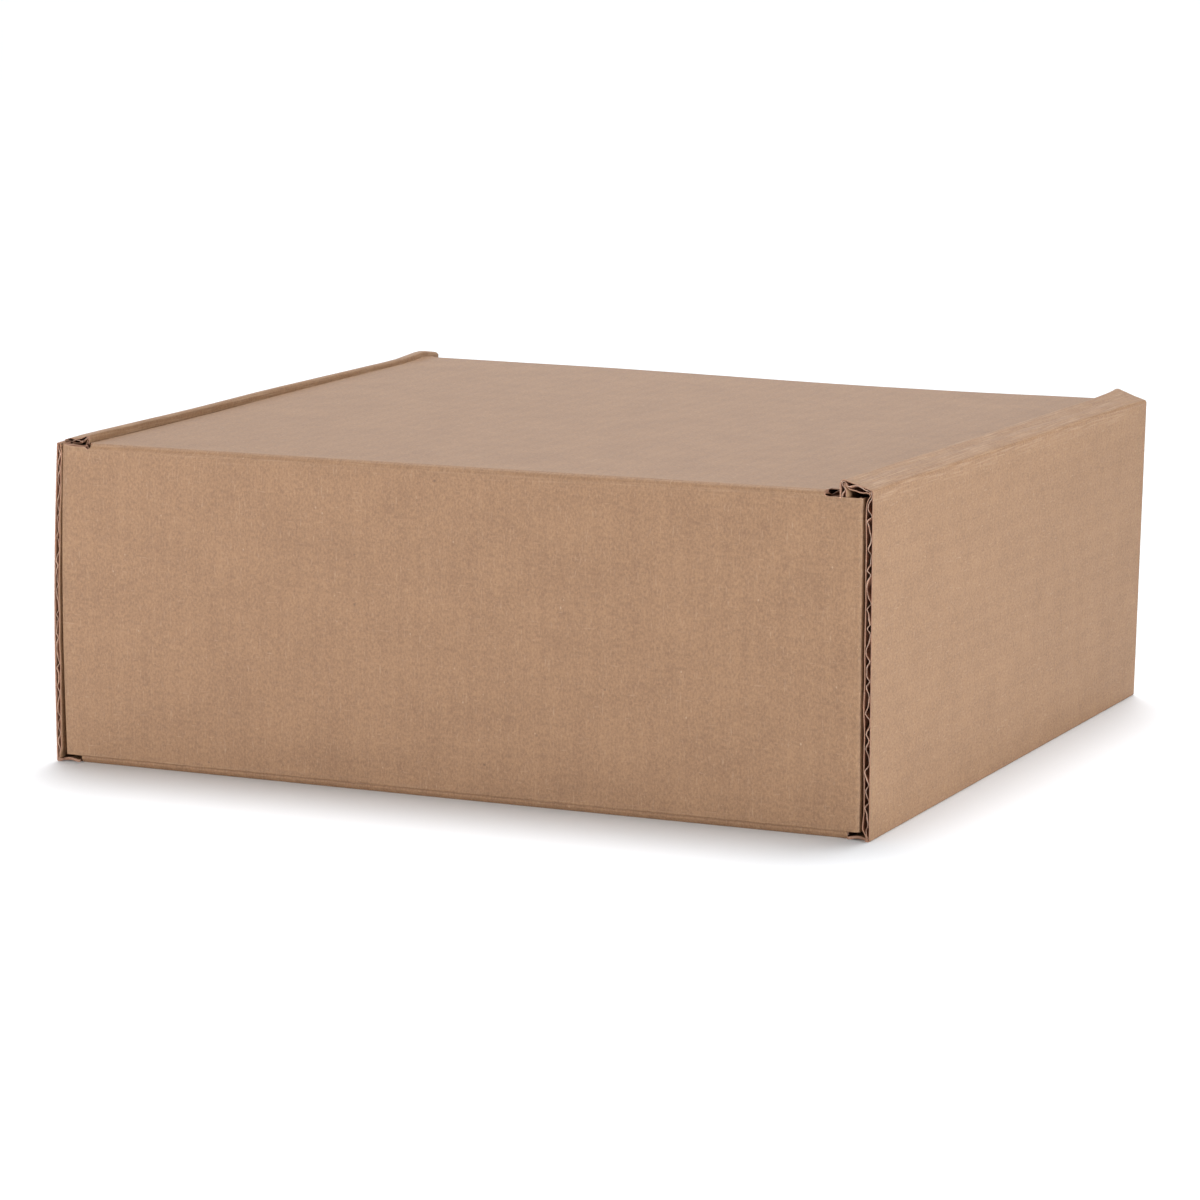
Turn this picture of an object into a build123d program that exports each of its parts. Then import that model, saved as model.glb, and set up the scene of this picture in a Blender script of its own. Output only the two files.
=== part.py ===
from build123d import *
from math import atan2, cos, degrees, floor, hypot, radians, sin
import os

os.makedirs("parts", exist_ok=True)

# A roll-end, tuck-top mailer folded from one sheet of corrugated board.
# Origin: centre of the footprint, on the surface the box stands on.
# The hinge wall faces -Y, the tuck wall +Y, and the two rolled side walls -X and +X.
# The sheet is cut into three nodes: the lid, which moves, the base with its side walls, and the end
# walls with their corner flaps. The last two meet along the creases at the ends of the base.

# Overall sizes, in millimetres
width = 300.0  # across the outer side walls
depth = 270.0  # from the hinge wall's face to the tuck wall's face
wall_height = 111.5  # floor to the outer crease of a side wall's rim
rim_rise = 3.1  # height of the rim's inner crease above its outer crease

# Corrugated board
board = 3.0  # full thickness
liner = 0.35  # each facing sheet
medium = 0.35  # the waved sheet, where it lies along a facing
flute_pitch = 6.5  # from crest to crest
crest = 1.0  # flat top of one wave

# Fits between layers of board
layer_gap = 0.4  # outer side wall to corner flap, and cut edges to the board beside them
flap_play = 1.2  # corner flap to inner side wall
lid_drop = 0.3  # top of the closed lid below the rims' outer creases
lid_gap = 1.4  # lid to the inner side wall, each side
tuck_gap = 0.6  # lid's free edge to the tuck wall's inside face
hinge_gap = 0.3  # between the two mitred faces of the lid's crease

# Folds at the hinge wall
hinge_notch = 3.4  # from the lid's side edge in to the end of its crease
foot_clearance = 0.5  # feet of the corner flaps above the base
foot_run = 2.2  # how far the bevel below each end wall goes in under the box
score_depth = 0.5  # groove pressed along the top of that bevel
foot_notch = 8.1  # relief left at each end of the two base creases
fold_radius = 1.8  # outside radius of the upright folds

# Hidden flaps
flap_length = 62.0
tuck_length = 38.0
tuck_side_inset = 4.0  # tuck flap narrower than the lid, each side
tuck_corner = 12.0  # radius of its free corners
tuck_lean = 5.0  # degrees inwards from upright
tab_length = 42.0
tab_spacing = 130.0
tab_gap = 0.5  # each tab to the edge of its slot

# Places worked out from the sizes above
side = width / 2
rear = -depth / 2
front = depth / 2
rim_width = 3 * board + layer_gap + flap_play
crease = 1.5 * board  # length of board that is crushed solid beside a fold
lid_height = wall_height - lid_drop
foot_rise = board + foot_clearance
rim_slope = rim_rise / rim_width
rim_depth = board * hypot(1, rim_slope)  # the sloping rim, measured straight down
rim_inside = side - rim_width
ridge_height = wall_height + rim_rise
end_wall_side = side - board - layer_gap
shoulder_height = wall_height - rim_depth + (side - end_wall_side) * rim_slope - layer_gap
flap_top = shoulder_height - board
lid_side = rim_inside - lid_gap
hinge_side = lid_side - hinge_notch
lid_underside = lid_height - board
lid_front = front - board - tuck_gap
inner_wall_rear = rear + board + layer_gap
inner_wall_front = front - board - layer_gap


def channel():
    """Section of one open channel between the lower facing and the waved sheet."""
    low = -board / 2 + liner
    high = board / 2 - liner - medium
    foot = (flute_pitch - crest) / 2
    return [(-foot, low), (foot, low), (crest / 2, high), (-crest / 2, high)]


def cut_flutes(centre, length, angle=0.0):
    """Open both rows of channels through a panel's section, within the given length."""
    count = floor(length / flute_pitch)
    if count < 1:
        return
    lower = channel()
    upper = [(x, -y) for x, y in lower]
    with Locations(Location((*centre, 0), (0, 0, angle))):
        with GridLocations(flute_pitch, 1, count, 1):
            Polygon(*lower, align=None, mode=Mode.SUBTRACT)
        if count > 1:
            with GridLocations(flute_pitch, 1, count - 1, 1):
                Polygon(*upper, align=None, mode=Mode.SUBTRACT)


# Outer side walls and their sloping rims, the full depth of the box
with BuildPart() as side_walls:
    with BuildSketch(Plane.XZ.offset(front)) as side_section:
        Polygon(
            (side - board, 0),
            (side, 0),
            (side, wall_height),
            (rim_inside, ridge_height),
            (rim_inside, ridge_height - rim_depth),
            (side - board, wall_height + board * rim_slope - rim_depth),
            align=None,
        )
        wall_middle = (crease + wall_height - crease) / 2
        cut_flutes((side - board / 2, wall_middle), wall_height - 2 * crease, 90)
        rim_middle = (side - rim_width / 2, wall_height + rim_rise / 2 - rim_depth / 2)
        rim_angle = degrees(atan2(-rim_rise, rim_width))
        cut_flutes(rim_middle, rim_width - board, rim_angle)
        mirror(about=Plane.YZ)
    extrude(amount=-depth)

# Inner side walls, with two locking tabs at the foot of each
with BuildPart() as inner_walls:
    with BuildSketch(Plane.XZ.offset(-inner_wall_rear)) as inner_section:
        Polygon(
            (rim_inside, layer_gap),
            (rim_inside + board, layer_gap),
            (rim_inside + board, ridge_height - board * rim_slope),
            (rim_inside, ridge_height),
            align=None,
        )
        inner_middle = (layer_gap + ridge_height - crease) / 2
        inner_length = ridge_height - crease - layer_gap
        cut_flutes((rim_inside + board / 2, inner_middle), inner_length, 90)
        mirror(about=Plane.YZ)
    extrude(amount=inner_wall_rear - inner_wall_front)
    # The wall's foot stands on the base between its tabs
    with BuildSketch(Plane.XY.offset(layer_gap)):
        Rectangle(width, depth)
        with GridLocations(2 * rim_inside + board, tab_spacing, 2, 2):
            Rectangle(3 * board, tab_length, mode=Mode.SUBTRACT)
    extrude(amount=board, mode=Mode.SUBTRACT)

# Base panel, slotted for the tabs and relieved at its four corners
with BuildPart() as base:
    with BuildSketch(Plane.XZ.offset(front - crease)) as base_section:
        with Locations((0, board / 2)):
            Rectangle(width - 2 * board, board)
        cut_flutes((0, board / 2), width - 2 * board - 2 * crease)
    extrude(amount=2 * crease - depth)
    with BuildSketch(Plane.XY):
        with GridLocations(2 * rim_inside + board, tab_spacing, 2, 2):
            Rectangle(board + 2 * tab_gap, tab_length + 2 * tab_gap)
    extrude(amount=board, mode=Mode.SUBTRACT)


def end_wall_section():
    """Level section of an end wall and its two corner flaps, for a wall along -Y."""
    with Locations((0, rear + board / 2)):
        Rectangle(2 * end_wall_side, board)
    flap_middle = rear + flap_length / 2
    with Locations((end_wall_side - board / 2, flap_middle), (board / 2 - end_wall_side, flap_middle)):
        Rectangle(board, flap_length)


# Hinge wall, tuck wall and the four corner flaps folded from their ends
with BuildPart() as end_walls:
    with BuildSketch(Plane.XY.offset(foot_rise)) as hinge_wall_section:
        end_wall_section()
        fillet(hinge_wall_section.vertices().group_by(Axis.Y)[0], fold_radius)
        cut_flutes((0, rear + board / 2), 2 * end_wall_side - 2 * crease)
        flap_fluted = flap_length - crease
        for across in (end_wall_side - board / 2, board / 2 - end_wall_side):
            cut_flutes((across, rear + crease + flap_fluted / 2), flap_fluted, 90)
    extrude(amount=shoulder_height - foot_rise)
    mirror(about=Plane.XZ)
    # The corner flaps end lower, under the rims
    with BuildSketch(Plane.XY.offset(flap_top)):
        Rectangle(2 * end_wall_side, depth - 2 * board)
    extrude(amount=board, mode=Mode.SUBTRACT)
    # Room for the crease that carries the lid
    with BuildSketch(Plane.XY.offset(lid_underside - crease)):
        with Locations((0, rear + board / 2)):
            Rectangle(2 * hinge_side + 2 * layer_gap, board)
    extrude(amount=2 * crease, mode=Mode.SUBTRACT)

# Crushed creases from the base up into the hinge wall and the tuck wall
with BuildPart() as base_creases:
    with BuildSketch(Plane.YZ) as foot_section:
        Polygon(
            (rear, crease),
            (rear, foot_rise + score_depth),
            (rear + score_depth, foot_rise),
            (rear + score_depth / 2, foot_rise - score_depth),
            (rear + foot_run, 0),
            (rear + crease, 0),
            (rear + crease, board),
            (rear + board, crease),
            align=None,
        )
    extrude(amount=side - foot_notch, both=True)
    mirror(about=Plane.XZ)

# Crease at the top of the hinge wall: the wall's half of a mitred fold
mitre_offset = hinge_gap * hypot(1, 1) / 2
with BuildPart() as wall_crease:
    with BuildSketch(Plane.YZ) as wall_crease_section:
        Polygon(
            (rear, lid_underside - crease),
            (rear + board, lid_underside - crease),
            (rear + board, lid_underside - mitre_offset),
            (rear, lid_height - mitre_offset),
            align=None,
        )
    extrude(amount=hinge_side + layer_gap, both=True)

with BuildPart() as tray:
    add(side_walls.part)
    add(inner_walls.part)
    add(base.part)
tray.part.label = "tray"

with BuildPart() as tray_ends:
    add(end_walls.part)
    add(base_creases.part)
    add(wall_crease.part)
tray_ends.part.label = "tray_ends"

# Lid panel, with the lid's half of the mitred crease along the hinge wall
with BuildPart() as lid_panel:
    with BuildSketch(Plane.XZ.offset(-rear - crease)) as lid_section:
        with Locations((0, lid_height - board / 2)):
            Rectangle(2 * lid_side, board)
        cut_flutes((0, lid_height - board / 2), 2 * lid_side - board)
    extrude(amount=rear + 2 * crease - lid_front)
    with BuildSketch(Plane.YZ) as lid_crease_section:
        Polygon(
            (rear + mitre_offset, lid_height),
            (rear + crease, lid_height),
            (rear + crease, lid_underside),
            (rear + board + mitre_offset, lid_underside),
            align=None,
        )
    extrude(amount=hinge_side, both=True)

# Tuck flap, leaning in from the lid's free edge
lean_out = sin(radians(tuck_lean))
lean_down = cos(radians(tuck_lean))
flap_side = lid_side - tuck_side_inset
free_edge = Vector(0, lid_front, lid_height)
down_the_flap = Vector(0, -lean_out, -lean_down)
out_of_the_flap = Vector(0, lean_down, -lean_out)
with BuildPart() as tuck_flap:
    flap_start = free_edge + down_the_flap * crease
    with BuildSketch(Plane(flap_start, x_dir=(1, 0, 0), z_dir=down_the_flap)) as flap_section:
        with Locations((0, board / 2)):
            Rectangle(2 * flap_side, board)
        cut_flutes((0, board / 2), 2 * flap_side - board)
    extrude(amount=tuck_length - crease)
    flap_end = free_edge + down_the_flap * tuck_length
    with BuildSketch(Plane(flap_end, x_dir=(1, 0, 0), z_dir=out_of_the_flap)) as flap_outline:
        with Locations((0, -tuck_length)):
            RectangleRounded(2 * flap_side, 2 * tuck_length, tuck_corner)
    extrude(amount=2 * board, both=True, mode=Mode.INTERSECT)

with BuildPart() as lid:
    add(lid_panel.part)
    add(tuck_flap.part)
    crease_end = free_edge + down_the_flap * crease
    crease_inside = crease_end - out_of_the_flap * board
    with BuildSketch(Plane.YZ) as free_edge_section:
        Polygon(
            (lid_front - crease, lid_height),
            (lid_front, lid_height),
            (crease_end.Y, crease_end.Z),
            (crease_inside.Y, crease_inside.Z),
            (lid_front - crease, lid_underside),
            align=None,
        )
        fillet(free_edge_section.vertices().sort_by(Axis.Y)[-1], fold_radius)
    extrude(amount=flap_side, both=True)
lid.part.label = "lid"

export_step(tray.part, "parts/tray.step")
export_step(tray_ends.part, "parts/tray_ends.step")
export_step(lid.part, "parts/lid.step")
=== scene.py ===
"""A closed mailer box, folded from one sheet of corrugated kraft board.

Every panel is built as real board: two liners and a waved medium between them, crushed at the folds
and open at the cut edges. Sizes are in metres, in the frame of the packed model.
"""
import math

import bpy
import numpy as np
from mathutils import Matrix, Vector


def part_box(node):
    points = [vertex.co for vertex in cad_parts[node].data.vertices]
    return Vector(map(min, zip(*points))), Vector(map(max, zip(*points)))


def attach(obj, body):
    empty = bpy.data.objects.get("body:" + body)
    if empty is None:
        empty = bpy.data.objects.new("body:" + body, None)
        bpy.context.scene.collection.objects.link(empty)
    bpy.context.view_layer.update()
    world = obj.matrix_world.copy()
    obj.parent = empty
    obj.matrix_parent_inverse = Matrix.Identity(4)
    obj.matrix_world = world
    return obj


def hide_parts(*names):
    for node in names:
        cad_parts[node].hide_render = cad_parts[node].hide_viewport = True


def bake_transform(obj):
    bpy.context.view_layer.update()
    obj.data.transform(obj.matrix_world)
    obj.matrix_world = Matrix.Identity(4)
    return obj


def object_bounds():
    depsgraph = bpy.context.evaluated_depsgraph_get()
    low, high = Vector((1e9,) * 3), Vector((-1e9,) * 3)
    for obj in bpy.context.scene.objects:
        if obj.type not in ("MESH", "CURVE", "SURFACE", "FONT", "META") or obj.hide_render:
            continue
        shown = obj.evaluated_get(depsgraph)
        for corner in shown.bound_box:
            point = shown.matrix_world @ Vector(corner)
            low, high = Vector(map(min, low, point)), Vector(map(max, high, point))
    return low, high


bl_info = {
    "name": "Corrugated Mailer Box",
    "version": (1, 0, 0),
    "blender": (4, 5, 0),
    "location": "View3D > Sidebar > Mailer Box",
    "description": "Builds a closed roll-end mailer box from corrugated board, panel by panel",
    "category": "Add Mesh",
}

MM = 0.001

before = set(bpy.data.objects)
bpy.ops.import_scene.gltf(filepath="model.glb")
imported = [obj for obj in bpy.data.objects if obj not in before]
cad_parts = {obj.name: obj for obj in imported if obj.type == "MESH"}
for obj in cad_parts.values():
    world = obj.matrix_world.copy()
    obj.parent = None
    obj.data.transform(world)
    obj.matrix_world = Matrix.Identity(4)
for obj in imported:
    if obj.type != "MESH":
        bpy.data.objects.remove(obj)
CAD_BOX = [[float(x) for x in corner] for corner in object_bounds()]

# Places on the box, from the frame
SIDE = CAD_BOX[1][0]
REAR = CAD_BOX[0][1]
FRONT = CAD_BOX[1][1]
RIDGE = CAD_BOX[1][2]
LID_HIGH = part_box("lid")[1]
LID_SIDE = LID_HIGH.x
LID_TOP = LID_HIGH.z
LID_FRONT = LID_HIGH.y


# ---------------------------------------------------------------- settings


class BoardSettings(bpy.types.PropertyGroup):
    """The corrugated board itself."""

    thickness: bpy.props.FloatProperty(
        name="Thickness", description="Board from face to face", default=3.0 * MM, unit="LENGTH")
    liner: bpy.props.FloatProperty(
        name="Liner", description="Each facing sheet", default=0.30 * MM, unit="LENGTH")
    medium: bpy.props.FloatProperty(
        name="Medium", description="The waved sheet", default=0.24 * MM, unit="LENGTH")
    pitch: bpy.props.FloatProperty(
        name="Flute Pitch", description="From crest to crest", default=6.5 * MM, unit="LENGTH")
    crush_reach: bpy.props.FloatProperty(
        name="Crush Reach", description="How far from a fold the board is thinned",
        default=4.0 * MM, unit="LENGTH")


class FoldSettings(bpy.types.PropertyGroup):
    """How the blank is folded."""

    rim_width: bpy.props.FloatProperty(
        name="Rim Width", description="Outer side wall face to inner side wall face",
        default=10.6 * MM, unit="LENGTH")
    rim_rise: bpy.props.FloatProperty(
        name="Rim Rise", description="Inner crease of the rim above its outer crease",
        default=3.1 * MM, unit="LENGTH")
    layer_gap: bpy.props.FloatProperty(
        name="Layer Gap", description="Outer side wall to corner flap",
        default=0.4 * MM, unit="LENGTH")
    foot_rise: bpy.props.FloatProperty(
        name="Foot Rise", description="Height of the bevel under the end walls",
        default=2.7 * MM, unit="LENGTH")
    foot_run: bpy.props.FloatProperty(
        name="Foot Run", description="How far the bevel goes in under the box",
        default=2.2 * MM, unit="LENGTH")
    foot_notch: bpy.props.FloatProperty(
        name="Foot Notch", description="Relief at each end of the base creases",
        default=8.1 * MM, unit="LENGTH")
    flap_length: bpy.props.FloatProperty(
        name="Corner Flap", description="Length of each corner flap",
        default=62.0 * MM, unit="LENGTH")
    crease_left: bpy.props.FloatProperty(
        name="Crease, Left", description="Middle of the box to the left end of the lid's crease",
        default=137.6 * MM, unit="LENGTH")
    crease_right: bpy.props.FloatProperty(
        name="Crease, Right", description="Middle of the box to the right end of the lid's crease",
        default=134.0 * MM, unit="LENGTH")
    crease_radius: bpy.props.FloatProperty(
        name="Crease Radius", description="Outside of the lid's soft crease",
        default=2.0 * MM, unit="LENGTH")
    tuck_length: bpy.props.FloatProperty(
        name="Tuck Length", description="Tuck flap below the lid's free edge",
        default=38.0 * MM, unit="LENGTH")
    tuck_lean: bpy.props.FloatProperty(
        name="Tuck Lean", description="Tuck flap inwards from upright",
        default=math.radians(5.0), unit="ROTATION")
    tuck_inset: bpy.props.FloatProperty(
        name="Tuck Inset", description="Tuck flap narrower than the lid, each side",
        default=4.0 * MM, unit="LENGTH")
    tuck_corner: bpy.props.FloatProperty(
        name="Tuck Corner", description="Radius of the tuck flap's free corners",
        default=12.0 * MM, unit="LENGTH")
    tab_length: bpy.props.FloatProperty(
        name="Tab Length", description="Each locking tab of the inner side walls",
        default=42.0 * MM, unit="LENGTH")
    tab_spacing: bpy.props.FloatProperty(
        name="Tab Spacing", description="Between the middles of a wall's two tabs",
        default=130.0 * MM, unit="LENGTH")


class FinishSettings(bpy.types.PropertyGroup):
    """Colours of the uncoated kraft paper."""

    kraft: bpy.props.FloatVectorProperty(
        name="Kraft", description="Liner's own colour", default=(0.345, 0.197, 0.104),
        subtype="COLOR", size=3, min=0.0, max=1.0)
    kraft_dark: bpy.props.FloatVectorProperty(
        name="Kraft, Dark", description="Darker clouds and specks in the liner",
        default=(0.225, 0.120, 0.062), subtype="COLOR", size=3, min=0.0, max=1.0)
    fibre: bpy.props.FloatVectorProperty(
        name="Fibre", description="Pale fibres and flecks", default=(0.53, 0.37, 0.25),
        subtype="COLOR", size=3, min=0.0, max=1.0)
    mote: bpy.props.FloatVectorProperty(
        name="Mote", description="Rare dark specks in the liner", default=(0.11, 0.06, 0.04),
        subtype="COLOR", size=3, min=0.0, max=1.0)
    medium: bpy.props.FloatVectorProperty(
        name="Medium", description="Waved sheet and the inside of the flutes",
        default=(0.36, 0.20, 0.135), subtype="COLOR", size=3, min=0.0, max=1.0)
    cut: bpy.props.FloatVectorProperty(
        name="Cut Edge", description="Cut edges of the sheets", default=(0.45, 0.31, 0.24),
        subtype="COLOR", size=3, min=0.0, max=1.0)


class StageSettings(bpy.types.PropertyGroup):
    """Floor, light and camera."""

    camera_place: bpy.props.FloatVectorProperty(
        name="Camera", description="Where the camera stands",
        default=(0.660, -1.4475, 0.3224), subtype="TRANSLATION", unit="LENGTH", size=3)
    heading: bpy.props.FloatProperty(
        name="Heading", description="Camera turned to its left from +Y",
        default=math.radians(24.73), unit="ROTATION")
    dip: bpy.props.FloatProperty(
        name="Dip", description="Camera tilted below level",
        default=math.radians(9.85), unit="ROTATION")
    lens: bpy.props.FloatProperty(
        name="Lens", description="Focal length", default=135.5, min=10.0, unit="CAMERA")
    floor_size: bpy.props.FloatProperty(
        name="Floor", description="Side of the square floor", default=40.0, unit="LENGTH")
    sky: bpy.props.FloatProperty(
        name="Sky", description="Strength of the even surround", default=0.12, min=0.0)
    top_sun: bpy.props.FloatProperty(
        name="Top Sun", description="Strength of the large light above", default=3.05, min=0.0)
    front_sun: bpy.props.FloatProperty(
        name="Front Sun", description="Strength of the low light on the hinge wall",
        default=0.7, min=0.0)
    side_sun: bpy.props.FloatProperty(
        name="Side Sun", description="Strength of the low light on the right side",
        default=0.5, min=0.0)
    front_panel: bpy.props.FloatProperty(
        name="Front Panel", description="The soft panel at the front left",
        default=7.3, min=0.0, unit="POWER")
    side_panel: bpy.props.FloatProperty(
        name="Side Panel", description="The soft panel at the right",
        default=12.5, min=0.0, unit="POWER")
    back_panel: bpy.props.FloatProperty(
        name="Back Panel", description="The white panel behind the box",
        default=26.0, min=0.0, unit="POWER")


# ---------------------------------------------------------------- shapes


class Outline:
    """Straight runs joined by round folds, followed by distance along them.

    hand is +1 where the board's outer face is on the right of the way along, and -1 on the left.
    """

    def __init__(self, corners, radii, hand):
        corners = np.array(corners, float)
        self.hand = hand
        self.folds = []
        self.run_start = []
        self.parts = []
        steps = np.diff(corners, axis=0)
        lengths = np.hypot(steps[:, 0], steps[:, 1])
        ways = steps / lengths[:, None]
        travelled = 0.0
        trimmed = 0.0
        for i, way in enumerate(ways):
            last = i == len(ways) - 1
            turn = 0.0 if last else self.turn_between(way, ways[i + 1])
            trim = 0.0 if last else radii[i] * math.tan(abs(turn) / 2)
            run = lengths[i] - trimmed - trim
            start = corners[i] + way * trimmed
            self.run_start.append(travelled - trimmed)
            self.parts.append((travelled, start, way, 0.0))
            travelled += run
            if not last:
                bend = math.copysign(1 / radii[i], turn)
                self.parts.append((travelled, start + way * run, way, bend))
                self.folds.append((travelled + radii[i] * abs(turn) / 2, radii[i]))
                travelled += radii[i] * abs(turn)
            trimmed = trim
        self.length = travelled
        self.starts = np.array([part[0] for part in self.parts])

    @staticmethod
    def turn_between(a, b):
        return math.atan2(a[0] * b[1] - a[1] * b[0], a[0] * b[0] + a[1] * b[1])

    def station(self, run, distance):
        """Distance along the outline of the place that far past a run's first corner."""
        return self.run_start[run] + distance

    def at(self, s):
        """Points and outward normals at distances s."""
        s = np.asarray(s, float)
        points = np.zeros(s.shape + (2,))
        ways = np.zeros(s.shape + (2,))
        which = np.clip(np.searchsorted(self.starts, s, side="right") - 1, 0, len(self.parts) - 1)
        for k, (start, point, way, bend) in enumerate(self.parts):
            here = which == k
            far = s[here] - start
            if bend == 0.0:
                points[here] = point + far[:, None] * way
                ways[here] = way
                continue
            left = np.array([-way[1], way[0]])
            angle = far * bend
            turned = np.cos(angle)[:, None] * way + np.sin(angle)[:, None] * left
            points[here] = point + (
                np.sin(angle)[:, None] * way + (1 - np.cos(angle))[:, None] * left) / bend
            ways[here] = turned
        normals = self.hand * np.stack([ways[..., 1], -ways[..., 0]], -1)
        return points, normals

    def samples(self, spacing, marks=(), arc_steps=7):
        """Distances that follow the folds closely, and include every mark."""
        found = [0.0, self.length, *marks]
        for k, (start, _, _, bend) in enumerate(self.parts):
            end = self.parts[k + 1][0] if k + 1 < len(self.parts) else self.length
            count = arc_steps if bend else max(1, math.ceil((end - start) / spacing))
            found.extend(np.linspace(start, end, count + 1))
            if bend:
                reach = np.array([0.4, 1.0, 2.0, 3.2, 4.6]) * MM
                found.extend(start - reach)
                found.extend(end + reach)
        return tidy_samples(found, self.length)


def tidy_samples(values, length, least=0.04 * MM):
    """Sorted values within 0 and length, none nearer to the next than least."""
    values = np.unique(np.clip(np.array(values, float), 0.0, length))
    kept = [values[0]]
    for value in values[1:]:
        if value - kept[-1] > least:
            kept.append(value)
    kept[-1] = length
    return np.array(kept)


def end_samples(low, high, spacing, marks=()):
    """Samples that crowd towards both cut ends."""
    steps = np.array([0.0, 0.3, 0.8, 1.6, 3.0, 5.0, 8.0, 13.0]) * MM
    middle = np.linspace(low + steps[-1], high - steps[-1],
                         max(2, math.ceil((high - low - 2 * steps[-1]) / spacing)) + 1)
    values = np.concatenate([low + steps, high - steps, middle, np.array(marks, float)])
    return low + tidy_samples(values - low, high - low)


def lengthwise(x, points, normals):
    """Places and outward normals of an upright outline that runs along the box, at each x."""
    outward = np.stack([0 * x, normals[..., 0], normals[..., 1]], -1)
    return np.stack([x, points[..., 0], points[..., 1]], -1), outward


def smooth_step(x):
    x = np.clip(x, 0.0, 1.0)
    return x * x * (3 - 2 * x)


def ripple(x, seed):
    """Smooth, repeatable unevenness, mostly between -1 and 1."""
    total = 0.0
    for k in range(1, 5):
        pace = 0.55 * k + 0.21 * ((seed * k) % 3)
        total = total + np.sin(pace * x + 2.3 * seed * k + k * k) / math.sqrt(k)
    return total / 1.9


def hump(x, middle, width):
    """A soft bump of height 1 at middle."""
    return np.exp(-(((x - middle) / width) ** 2))


# ---------------------------------------------------------------- meshes


# Places of the four papers in board_materials
FACE, INSIDE, CUT, EDGE = 0, 1, 2, 3
STEPS_PER_FLUTE = 8
SHARP_FOLD = math.radians(38)


class SheetMesh:
    """Closed paper sheets gathered into one mesh, with the flat blank as texture coordinates."""

    def __init__(self):
        self.points = []
        self.flat = []
        self.wear = []
        self.quads = []
        self.slots = []
        self.count = 0

    def add(self, outer, inner, keep, flat, slots, wear=None):
        """One sheet between two grids of points, over the cells that keep marks.

        slots are the materials of its outer face, inner face and cut edges. wear is how creased the
        outer face is, along the flutes and across them; across them it also holds a painted
        highlight on the end walls' foot lip.
        """
        outer_slot, inner_slot, cut_slot = slots
        nu, nv = keep.shape
        used = np.zeros((nu + 1, nv + 1), bool)
        for du in (0, 1):
            for dv in (0, 1):
                used[du:nu + du, dv:nv + dv] |= keep
        number = np.full(used.shape, -1)
        number[used] = np.arange(used.sum())
        total = int(used.sum())
        upper = number + self.count
        lower = upper + total
        self.points += [outer[used], inner[used]]
        self.flat += [flat[used], flat[used]]
        creased = np.zeros((total, 2)) if wear is None else wear[used]
        self.wear += [creased, 0 * creased]
        self.count += 2 * total

        i, j = np.nonzero(keep)
        i0, j0 = i[len(i) // 2], j[len(i) // 2]
        across = outer[i0 + 1, j0] - outer[i0, j0]
        along = outer[i0, j0 + 1] - outer[i0, j0]
        flip = np.dot(np.cross(across, along), outer[i0, j0] - inner[i0, j0]) < 0

        def put(a, b, c, d, slot):
            quads = np.stack([a, b, c, d], 1)
            self.quads.append(quads[:, ::-1] if flip else quads)
            self.slots.append(np.full(len(quads), slot))

        put(upper[i, j], upper[i + 1, j], upper[i + 1, j + 1], upper[i, j + 1], outer_slot)
        put(lower[i, j + 1], lower[i + 1, j + 1], lower[i + 1, j], lower[i, j], inner_slot)
        padded = np.pad(keep, 1)
        sides = (
            ((0, -1), (0, 0), (1, 0)),
            ((1, 0), (1, 0), (1, 1)),
            ((0, 1), (1, 1), (0, 1)),
            ((-1, 0), (0, 1), (0, 0)),
        )
        for (di, dj), (pi, pj), (qi, qj) in sides:
            open_side = ~padded[i + 1 + di, j + 1 + dj]
            a, b = i[open_side], j[open_side]
            put(lower[a + pi, b + pj], lower[a + qi, b + qj],
                upper[a + qi, b + qj], upper[a + pi, b + pj], cut_slot)

    def build(self, name):
        """The gathered sheets as one object of kraft board, loosened by hand folding."""
        points = relax(np.concatenate(self.points))
        quads = np.concatenate(self.quads)
        flat = np.concatenate(self.flat)
        data = bpy.data.meshes.new(name)
        data.from_pydata(points.tolist(), [], quads.tolist())
        data.polygons.foreach_set("material_index", np.concatenate(self.slots).astype(np.int32))
        data.polygons.foreach_set("use_smooth", np.ones(len(quads), bool))
        layer = data.uv_layers.new(name="blank")
        layer.uv.foreach_set("vector", flat[quads.ravel()].astype(np.float32).ravel())
        for material in board_materials():
            data.materials.append(material)
        wear = np.concatenate(self.wear).astype(np.float32)
        for name_of_wear, values in (("wear_along", wear[:, 0]), ("wear_and_highlight_across", wear[:, 1])):
            data.attributes.new(name_of_wear, "FLOAT", "POINT").data.foreach_set("value", values)
        data.update()
        data.set_sharp_from_angle(angle=SHARP_FOLD)
        data.validate()
        piece = bpy.data.objects.new(name, data)
        bpy.context.scene.collection.objects.link(piece)
        return piece


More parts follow.
